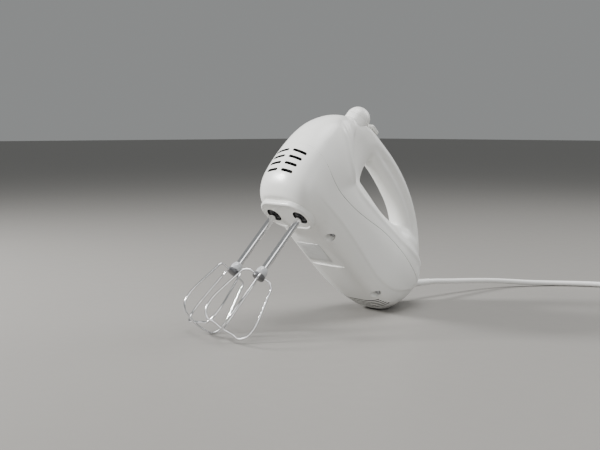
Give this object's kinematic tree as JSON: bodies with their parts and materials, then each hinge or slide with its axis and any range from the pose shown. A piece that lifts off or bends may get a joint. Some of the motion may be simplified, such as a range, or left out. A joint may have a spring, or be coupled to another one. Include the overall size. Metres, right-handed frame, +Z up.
{
  "type": "hand mixer",
  "caption": "Electric hand mixer with closed-loop handle, round eject knob, speed slider, worm-driven wire whisks, motor and mains cord with plug, resting on its heel and whisks.",
  "frame": {"origin": "on the worktop, under the middle of the resting mixer's outline without its cord", "axes": "+Z up from the worktop, -Y where the whisks point, +Y where the cord leaves, +X the mixer's left side"},
  "size_m": [0.3141, 0.5814, 0.2283],
  "materials": {
    "housing_white": "satin moulded, warm white",
    "slider_white": "ribbed grip",
    "label": "blank foil plate",
    "screw_steel": "zinc plated",
    "beater_chrome": "polished plating",
    "collar_plastic": "pale moulded cup",
    "ring_dark": "dark moulded ring",
    "dark_plastic": "moulded",
    "gearbox_alloy": "die cast",
    "bronze": "sintered, oiled",
    "steel": "ground",
    "lamination": "stacked laminations, varnished",
    "copper": "varnished copper",
    "rubber": "moulded",
    "carbon": "pressed carbon",
    "board": "circuit board",
    "capacitor": "cast box",
    "nylon": "moulded",
    "lead": "insulated wire",
    "cord_white": "soft extruded sheath",
    "tie_dark": "twist tie",
    "plug_metal": "nickel plated"
  },
  "bodies": {
    "housing": {"upper_housing": "housing_white", "lower_housing": "housing_white", "housing_screws": "screw_steel", "rating_plate": "label", "eject_spring": "steel", "speed_switch": "dark_plastic", "speed_board": "board", "gearbox_frame": "gearbox_alloy", "gearbox_cover": "dark_plastic", "gearbox_screws": "screw_steel", "lower_gear_bushes": "bronze", "upper_gear_bushes": "bronze", "nose_bearing": "bronze", "front_bearing": "bronze", "rear_bearing": "bronze", "motor_stator": "lamination", "field_coils": "copper", "rear_bracket": "dark_plastic", "motor_screws": "screw_steel", "motor_pads": "rubber", "brush_holders": "bronze", "carbon_brushes": "carbon", "brush_springs": "steel", "suppressor_capacitor": "capacitor", "terminal_block": "nylon", "inner_leads": "lead", "cord_clamp": "nylon", "strain_relief": "cord_white", "power_cord": "cord_white", "cord_coil": "cord_white", "coil_tie": "tie_dark", "plug_body": "cord_white", "plug_pins": "plug_metal"},
    "armature": {"motor_shaft": "steel", "worm": "steel", "armature_core": "lamination", "armature_winding": "copper", "commutator": "copper", "fan": "dark_plastic"},
    "eject": {"eject_button": "housing_white", "eject_rod": "dark_plastic"},
    "speed_slider": {"speed_slider": "slider_white"},
    "left_gear": {"left_gear": "dark_plastic"},
    "right_gear": {"right_gear": "dark_plastic"},
    "left_pin": {"left_ejector_pin": "steel"},
    "right_pin": {"right_ejector_pin": "steel"},
    "left_beater": {"left_beater_stem": "beater_chrome", "left_beater_collar": "collar_plastic", "left_beater_ring": "ring_dark", "left_whisk_long": "beater_chrome", "left_whisk_short": "beater_chrome"},
    "right_beater": {"right_beater_stem": "beater_chrome", "right_beater_collar": "collar_plastic", "right_beater_ring": "ring_dark", "right_whisk_long": "beater_chrome", "right_whisk_short": "beater_chrome"}
  },
  "joints": [
    {"name": "motor_spin", "type": "hinge", "parent": "housing", "child": "armature", "pos_m": [0.002, 0.02862, 0.10017], "axis": [0, 0.7071, -0.7071], "continuous": true},
    {"name": "left_gear_spin", "type": "hinge", "parent": "housing", "child": "left_gear", "pos_m": [0.0222, -0.02936, 0.12704], "axis": [0, 0.7071, 0.7071], "continuous": true},
    {"name": "right_gear_spin", "type": "hinge", "parent": "housing", "child": "right_gear", "pos_m": [-0.0182, -0.02936, 0.12704], "axis": [0, 0.7071, 0.7071], "continuous": true},
    {"name": "eject_press", "type": "slide", "parent": "housing", "child": "eject", "axis": [0, -0.7071, -0.7071], "range_m": [0, 0.005], "stiffness_N_per_m": 400, "springref_m": -0.006, "deforming": ["eject_spring"]},
    {"name": "left_pin_drop", "type": "slide", "parent": "left_gear", "child": "left_pin", "axis": [0, -0.7071, -0.7071], "range_m": [0, 0.005]},
    {"name": "right_pin_drop", "type": "slide", "parent": "right_gear", "child": "right_pin", "axis": [0, -0.7071, -0.7071], "range_m": [0, 0.005]},
    {"name": "left_beater_out", "type": "slide", "parent": "left_pin", "child": "left_beater", "axis": [0, -0.7071, -0.7071], "range_m": [0, 0.06]},
    {"name": "right_beater_out", "type": "slide", "parent": "right_pin", "child": "right_beater", "axis": [0, -0.7071, -0.7071], "range_m": [0, 0.06]},
    {"name": "speed_slide", "type": "slide", "parent": "housing", "child": "speed_slider", "axis": [0, 0.7071, -0.7071], "range_m": [0, 0.02]}
  ],
  "couplings": [
    {"joint": "left_gear_spin", "follows": "motor_spin", "ratio": 0.068966},
    {"joint": "right_gear_spin", "follows": "motor_spin", "ratio": -0.068966},
    {"joint": "left_pin_drop", "follows": "eject_press", "ratio": 1},
    {"joint": "right_pin_drop", "follows": "eject_press", "ratio": 1}
  ]
}
